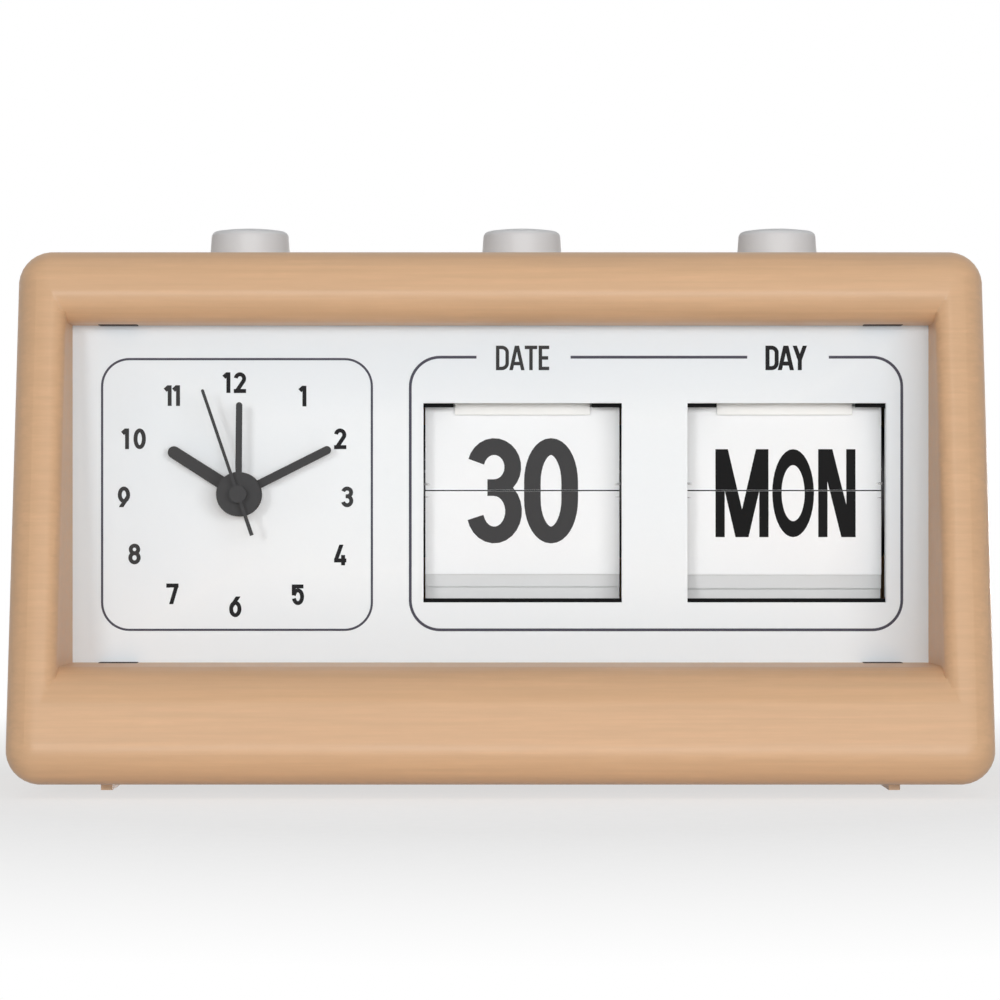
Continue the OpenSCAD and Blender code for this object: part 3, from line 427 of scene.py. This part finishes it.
def glyph(ch, w, h, t):
    """The strokes of one character in a box w wide and h high, drawn with a line t wide. Strokes
    may run out of the box, whose top and bottom cut them."""
    m, c, r = t / 2, w / 2, (w - t) / 2
    top, right, low = h - m, w - m, m
    bowl = r * 1.06
    if ch == "0":
        return [loop(oval(w, h, t, min(r * 1.9, (h - t) / 2)))]
    if ch == "O":
        return [loop(oval(w, h, t, (h - t) / 2))]
    if ch == "1":
        return [stroke((right, 0), (right, h)),
                stroke((m * 0.15, h * 0.76), (right, h * 0.96), heavier=1.1)]
    if ch == "2":
        return [stroke(*arc(c, top - bowl, r, bowl, 172, -28), (m * 1.5, low)),
                stroke((0, low), (w, low))]
    if ch == "3":
        up, down = (top - h * 0.53) / 2, (h * 0.53 - low) / 2
        waist = (c - r * 0.35, h * 0.53)
        return [stroke(*arc(c, top - up, r * 0.96, up, 165, -90), waist),
                stroke(waist, *arc(c, low + down, r, down, 90, -165))]
    if ch == "4":
        return [stroke((w * 0.66, h + t), (w * 0.60, h), (m * 0.9, h * 0.24)),
                stroke((0, h * 0.235), (w, h * 0.235)),
                stroke((w * 0.74, 0), (w * 0.74, h * 0.5))]
    if ch == "5":
        down, shoulder = h * 0.31, (m, h * 0.47)
        return [stroke((w * 0.95, top), (m, top), shoulder),
                stroke(shoulder, *arc(c, low + down, r, down, 140, -165))]
    if ch in "69":
        down = h * 0.30
        strokes = [loop(ring(c, low + down, r, down)),
                   stroke((w * 0.86, h + t), (w * 0.74, h), (c - r * 0.93, low + down * 1.36))]
        if ch == "9":
            strokes = [([(w - x, h - z) for x, z in points], *rest) for points, *rest in strokes]
        return strokes
    if ch == "7":
        return [stroke((0, top), (w, top)), stroke((m, top), (m, h * 0.80)),
                stroke((right, top), (w * 0.40, 0), (w * 0.36, -t))]
    if ch == "8":
        up, down = (h * 0.46 - m) / 2, (h * 0.54 - m) / 2
        return [loop(ring(c, top - up, r * 0.9, up)), loop(ring(c, low + down, r, down))]
    if ch == "A":
        foot, tip = m * 0.55 - 0.1 * t, (c, h + t * 0.5)
        return [stroke((foot, -t * 0.5), tip), stroke((w - foot, -t * 0.5), tip),
                stroke((w * 0.22, h * 0.27), (w * 0.78, h * 0.27))]
    if ch == "D":
        rz, x = min(r * 1.1, (h - t) / 2), c * 0.9
        return [loop([(m, low), (m, top), (x, top)] + arc(x, top - rz, right - x, rz, 90, 0)
                     + arc(x, low + rz, right - x, rz, 0, -90))]
    if ch == "E":
        return [stroke((m, 0), (m, h)), stroke((m, low), (w, low)), stroke((m, top), (w, top)),
                stroke((m, h / 2), (w * 0.9, h / 2))]
    if ch == "M":
        return [stroke((m, 0), (m, h)), stroke((right, 0), (right, h)),
                stroke((m, h + t), (m * 1.3, h), (c, 0), (c + m * 0.1, -t), heavier=DIAGONAL),
                stroke((w - m, h + t), (w - m * 1.3, h), (c, 0), (c - m * 0.1, -t),
                       heavier=DIAGONAL)]
    if ch == "N":
        return [stroke((m, 0), (m, h)), stroke((right, 0), (right, h)),
                stroke((m * 1.15, h + t * 0.6), (w - m * 1.15, -t * 0.6), heavier=DIAGONAL)]
    if ch == "T":
        return [stroke((0, top), (w, top)), stroke((c, 0), (c, top))]
    if ch == "U":
        return [stroke((m, h), (m, low + bowl), *arc(c, low + bowl, r, bowl, 180, 360),
                       (right, h))]
    if ch == "Y":
        fork = (c, h * 0.42)
        return [stroke((m * 0.7, h + t * 0.5), fork), stroke((w - m * 0.7, h + t * 0.5), fork),
                stroke((c, 0), (c, h * 0.46))]
    raise ValueError("no strokes are drawn for " + ch)


NEAR = 1e-5                          # points of a stroke nearer than this are one
MITRE = 0.4                          # the least cosine that a corner is sharpened by


def ribbon(bm, points, width, closed, place):
    """A flat band of one width along the points; place puts (x, z) into the row."""
    pts = [Vector(p) for p in points]
    clean = [pts[0]]
    for p in pts[1:]:
        if (p - clean[-1]).length > NEAR:
            clean.append(p)
    if closed and (clean[0] - clean[-1]).length < NEAR:
        clean.pop()
    n = len(clean)
    pairs = []
    for i, p in enumerate(clean):
        before = clean[i - 1] if i or closed else None
        after = clean[(i + 1) % n] if i < n - 1 or closed else None
        d1 = (p - before).normalized() if before is not None else (after - p).normalized()
        d2 = (after - p).normalized() if after is not None else d1
        across = Vector((-d1.y, d1.x))
        side = Vector((-(d1.y + d2.y), d1.x + d2.x))
        side = side.normalized() if side.length > 1e-6 else across
        reach = width / 2 / max(MITRE, side.dot(across))
        pairs.append([bm.verts.new(place(p + side * reach * s)) for s in (1, -1)])
    for i in range(n if closed else n - 1):
        a, b = pairs[i], pairs[(i + 1) % n]
        bm.faces.new((a[0], a[1], b[1], b[0]))


def cut(bm, z, keep_above):
    """Cuts the flat print at a height and keeps one side."""
    bmesh.ops.bisect_plane(bm, geom=bm.verts[:] + bm.edges[:] + bm.faces[:], dist=SPECK,
                           plane_co=(0, 0, z * MM), plane_no=(0, 0, 1),
                           clear_inner=keep_above, clear_outer=not keep_above)


def thicken(bm, out):
    """Turns the flat print into a solid that stands out to the front by so many millimetres."""
    grown = bmesh.ops.extrude_face_region(bm, geom=bm.faces[:])
    moved = [v for v in grown["geom"] if isinstance(v, bmesh.types.BMVert)]
    bmesh.ops.translate(bm, vec=(0, -out * MM, 0), verts=moved)


OVERLAP = 0.06                       # each further stroke stands out so much more, so none flickers


def letters(boxes, h, t, z, y, out, squeeze=1.0, cuts=()):
    """Prints characters. boxes: (character, left x, width); t: the line's width; out: how far the
    print stands out to the front; squeeze: how narrow upright lines are against level ones;
    cuts: (height, keep above)."""
    whole = bmesh.new()
    for ch, left, w in boxes:
        for j, (pts, closed, heavier) in enumerate(glyph(ch, w / squeeze, h, t)):
            bm = bmesh.new()
            ribbon(bm, pts, t * heavier, closed, lambda p: row(left + p.x * squeeze, y, z + p.y))
            for level, above in ((z, True), (z + h, False), *cuts):
                cut(bm, level, above)
            if bm.faces:
                thicken(bm, out * (1 + OVERLAP * j))
            mesh = bpy.data.meshes.new("stroke")
            bm.to_mesh(mesh)
            whole.from_mesh(mesh)
            bpy.data.meshes.remove(mesh)
            bm.free()
    return whole


# ---------------------------------------------------------------- the dial's printing

PRINT = 0.05                         # how far the dial's print stands out
DIGIT_H, DIGIT_W, DIGIT_T = 4.3, 2.55, 0.82
ONE_W = 1.42
DIGIT_SPACE = {"12": 0.72, "11": 0.32, "10": 0.95}
PALER = ("3", "8", "9", "10", "11")
# Each number with the place of its middle, from the hands' axis.
NUMERALS = (("12", -1.2, 23.3), ("1", 13.0, 20.5), ("2", 20.75, 11.6), ("3", 22.2, -0.5),
            ("4", 20.75, -12.6), ("5", 11.95, -20.9), ("6", -1.1, -23.4), ("7", -14.2, -20.7),
            ("8", -22.1, -12.4), ("9", -24.3, -0.5), ("10", -22.2, 11.6), ("11", -14.2, 20.6))
for text, dx, dz in NUMERALS:
    widths = [ONE_W if ch == "1" else DIGIT_W for ch in text]
    space = DIGIT_SPACE.get(text, 0.0)
    left = AXIS[0] + dx - (sum(widths) + space) / 2
    boxes = []
    for ch, w in zip(text, widths):
        boxes.append((ch, left, w))
        left += w + space
    bm = letters(boxes, DIGIT_H, DIGIT_T, AXIS[1] + dz - DIGIT_H / 2, 0.0, PRINT)
    piece("numeral_" + text, bm, "case", INK_SOFT if text in PALER else INK)

WORD_H, WORD_Z = 5.1, 86.9
TITLES = (
    ("word_date", (("D", -0.95, 2.7), ("A", 2.0, 2.85), ("T", 5.05, 2.6), ("E", 7.95, 2.2)),
     0.72, INK_SOFT),
    ("word_day", (("D", 55.2, 2.75), ("A", 57.95, 3.0), ("Y", 60.85, 3.0)), 0.84, INK),
)
for name, boxes, line_w, mat in TITLES:
    piece(name, letters(boxes, WORD_H, line_w, WORD_Z, 0.0, PRINT), "case", mat)


def frame_line(x0, x1, z0, z1, r, gaps=()):
    """Runs of points round a rounded rectangle, from the middle of the top. gaps: (from, to) of
    each gap in the top line."""
    around = []
    for cx, cz, a in ((x1 - r, z1 - r, 90), (x1 - r, z0 + r, 0),
                      (x0 + r, z0 + r, -90), (x0 + r, z1 - r, -180)):
        around += arc(cx, cz, r, r, a, a - 90, 14)
    if not gaps:
        return [(around, True)]
    runs = [([(gaps[-1][1], z1)] + around + [(gaps[0][0], z1)], False)]
    for a, b in zip(gaps, gaps[1:]):
        runs.append(([(a[1], z1), (b[0], z1)], False))
    return runs


def line_piece(name, runs, width):
    bm = bmesh.new()
    for pts, closed in runs:
        ribbon(bm, pts, width, closed, lambda p: row(p.x, 0.0, p.y))
    thicken(bm, PRINT)
    return piece(name, bm, "case", INK_LINE)


TITLE_GAPS = ((-5.0, 14.6), (51.4, 68.4))
line_piece("clock_square", frame_line(-83.0, -26.8, 32.8, 89.2, 5.7), 0.46)
line_piece("calendar_square", frame_line(-18.8, 83.6, 32.8, 89.6, 6.2, TITLE_GAPS), 0.58)


# ---------------------------------------------------------------- the dial's four catches

def slab(name, xs, ys, zs, bevel):
    """A small moulded block with softened edges, given by its limits in the dial frame."""
    low, high = row(xs[0], ys[0], zs[0]), row(xs[1], ys[1], zs[1])
    bm = bmesh.new()
    bmesh.ops.create_cube(bm, size=1.0)
    for v in bm.verts:
        v.co = Vector([low[i] + (v.co[i] + 0.5) * (high[i] - low[i]) for i in range(3)])
    bmesh.ops.bevel(bm, geom=bm.edges[:], offset=bevel * MM, segments=3, profile=0.6,
                    affect="EDGES")
    return piece(name, bm, "case", CATCH_PAINTED_SHADE, smooth=True)


CATCH_X = (5.75, 13.75)              # from the dial's end
CATCH_Y = (-3.9, -0.06)
CATCH_Z = (-0.14, 1.2)               # from just inside the dial's edge to out past it
CATCH_EDGE = 0.12
for side, sx in (("left", -1), ("right", 1)):
    for level, z, up in (("low", DIAL_Z[0], -1), ("high", DIAL_Z[1], 1)):
        xs = sorted(sx * (DIAL_W / 2 - x) for x in CATCH_X)
        zs = sorted(z + up * dz for dz in CATCH_Z)
        slab("catch_" + level + "_" + side, xs, CATCH_Y, zs, CATCH_EDGE)


# ---------------------------------------------------------------- the cards' printing

CARD_PRINT = 0.03                    # how far the cards' print stands out


def card_word(name, boxes, card, half, body, turn=0.0):
    """Half a word on a card. half: upper (on a standing card's front), lower (on a fallen card's
    front) or next (on the standing card's back, upside down, where it shows once the card has
    fallen). turn: how far back on the drum the card waits, in degrees."""
    pivot_y = card["pivot_y"]
    if half == "upper":
        front, keep = pivot_y + CARD_BACK, (SPLIT[1], True)
    else:
        front, keep = pivot_y - CARD_BACK - CARD_T, (SPLIT[0], False)
    bm = letters(boxes, card["h"], card["t"], card["z"], front, CARD_PRINT, card["squeeze"],
                 (keep,))
    if half == "next":
        up, down = row(0, pivot_y, card["up"]), row(0, pivot_y, card["down"])
        bm.transform(Matrix.Translation(up) @ Matrix.Rotation(math.pi, 4, "X")
                     @ Matrix.Translation(-down))
    if turn:
        at = row(0, *DRUM)
        bm.transform(Matrix.Translation(at) @ Matrix.Rotation(math.radians(-turn), 4, "X")
                     @ Matrix.Translation(-at))
    return piece(name, bm, body, card["mat"])


# up, down: height of the standing and of the fallen card's pins; turn: from card to card on the
# drum; z, h, t, squeeze: the figures' foot, height, width of line and squeeze.
DATE = dict(pivot_y=7.069, up=63.255, down=60.545, turn=360 / 31,
            z=50.8, h=22.1, t=3.5, squeeze=1.0, mat=INK_DATE)
DAY = dict(pivot_y=7.084, up=63.40, down=60.40, turn=360 / 28,
           z=52.1, h=18.5, t=3.35, squeeze=0.58, mat=INK_DAY)
# What each unit shows at rest, and what it shows once its button is pressed.
WORDS = {
    "date": (DATE, (("3", -7.15, 11.65), ("0", 4.95, 11.35)),
             (("3", -7.15, 11.65), ("1", 6.2, 6.6))),
    "day": (DAY, (("M", 45.2, 11.15), ("O", 57.15, 8.75), ("N", 66.8, 7.85)),
            (("T", 45.9, 8.6), ("U", 55.4, 8.75), ("E", 65.2, 7.4))),
}
for which, (card, now, then) in WORDS.items():
    card_word(which + "_print_upper", now, card, "upper", which + "_flap")
    card_word(which + "_print_lower", now, card, "lower", which + "_fallen")
    card_word(which + "_next_lower", then, card, "next", which + "_flap")
    card_word(which + "_next_upper", then, card, "upper", which + "_drum", turn=card["turn"])


# ---------------------------------------------------------------- floor, lights, camera

def backdrop_rays(tree):
    """1 for the rays that see the plain white backdrop, 0 for those that light the clock."""
    path = tree.nodes.new("ShaderNodeLightPath")
    seen = path.outputs["Is Camera Ray"]
    for kind in ("Is Glossy Ray", "Is Transmission Ray"):
        most = tree.nodes.new("ShaderNodeMath")
        most.operation = "MAXIMUM"
        tree.links.new(seen, most.inputs[0])
        tree.links.new(path.outputs[kind], most.inputs[1])
        seen = most.outputs[0]
    return seen


FLOOR_NEAR, FLOOR_FAR = 0.12, 0.32   # how far out the floor starts to turn white, and is white
FLOOR_GLOW = 0.66                    # how much of the white there is near the clock
FLOOR_HALF = 3.0
FLOOR_BELOW = 0.0002


def floor_material():
    """White to the camera far off, and near the object a pale floor that keeps its soft shadow."""
    t = Tree("floor_white")
    length = t.node("ShaderNodeVectorMath", operation="LENGTH")
    t.link(t.coord.outputs["Object"], length.inputs[0])
    far = t.spread(length.outputs["Value"], FLOOR_GLOW, 1.0, FLOOR_NEAR, FLOOR_FAR)
    fac = t.node("ShaderNodeMath", operation="MULTIPLY")
    t.link(far, fac.inputs[0])
    t.link(backdrop_rays(t.t), fac.inputs[1])
    tooth = t.noise(240, detail=3.0)
    pale = t.node("ShaderNodeBsdfDiffuse")
    tone = t.mix(t.spread(tooth, 0.0, 1.0), (0.83, 0.83, 0.83, 1), (0.87, 0.87, 0.87, 1))
    t.link(tone, pale.inputs["Color"])
    glow = t.node("ShaderNodeEmission")
    glow.inputs["Strength"].default_value = 1.0
    both = t.node("ShaderNodeMixShader")
    t.link(fac.outputs[0], both.inputs[0])
    t.link(pale.outputs[0], both.inputs[1])
    t.link(glow.outputs[0], both.inputs[2])
    t.link(both.outputs[0], t.out.inputs["Surface"])
    return t.mat


bm = bmesh.new()
bmesh.ops.create_grid(bm, x_segments=24, y_segments=24, size=FLOOR_HALF)
mesh = bpy.data.meshes.new("studio_floor")
bm.to_mesh(mesh)
bm.free()
mesh.materials.append(floor_material())
floor = bpy.data.objects.new("studio_floor", mesh)
bpy.context.scene.collection.objects.link(floor)
floor.location = (0, 0, cad_low.z - FLOOR_BELOW)

world = bpy.data.worlds.new("studio")
bpy.context.scene.world = world
world.use_nodes = True
sky = world.node_tree
sky.nodes.clear()


def background(colour, strength):
    node = sky.nodes.new("ShaderNodeBackground")
    node.inputs["Color"].default_value = colour
    node.inputs["Strength"].default_value = strength
    return node.outputs[0]


blend = sky.nodes.new("ShaderNodeMixShader")
sky.links.new(backdrop_rays(sky), blend.inputs[0])
sky.links.new(background((0.97, 0.985, 1.0, 1), 0.2), blend.inputs[1])
sky.links.new(background((1, 1, 1, 1), 1.0), blend.inputs[2])
sky.links.new(blend.outputs[0], sky.nodes.new("ShaderNodeOutputWorld").inputs["Surface"])


def lamp(name, place, aim, size, power):
    """A rectangular lamp at a place, in metres, turned to what it aims at."""
    data = bpy.data.lights.new(name, "AREA")
    data.shape = "RECTANGLE"
    data.size, data.size_y = size
    data.energy = power
    obj = bpy.data.objects.new(name, data)
    obj.location = place
    obj.rotation_mode = "QUATERNION"
    obj.rotation_quaternion = (Vector(aim) - Vector(place)).to_track_quat("-Z", "Y")
    bpy.context.scene.collection.objects.link(obj)
    return obj


MIDDLE = (0, 0, 0.06)
lamp("front", (0.05, -1.7, 0.12), MIDDLE, (0.5, 0.4), 8.6)
lamp("key", (0.62, -1.45, 0.17), MIDDLE, (0.8, 0.6), 7.6)
lamp("accent", (-0.45, -1.5, 0.25), MIDDLE, (0.25, 0.25), 4.2)
lamp("top", (0.0, -0.5, 1.5), MIDDLE, (1.2, 0.9), 2.2)
lamp("back", (0.25, 1.5, 0.05), (0, 0, 0.05), (1.0, 0.08), 9.0)

EYE_Y, EYE_Z = -750, 53.6            # a level camera, 0.75 m in front of the dial plate
camera = bpy.data.cameras.new("camera")
camera.lens = 129.6
camera.sensor_width = 36
camera.shift_x = -0.0005
camera.shift_y = 0.03
eye = bpy.data.objects.new("camera", camera)
eye.location = row(0, EYE_Y, EYE_Z)
eye.rotation_mode = "XYZ"
eye.rotation_euler = (math.pi / 2, 0, 0)
bpy.context.scene.collection.objects.link(eye)
bpy.context.scene.camera = eye
bpy.context.scene.view_settings.view_transform = "Standard"
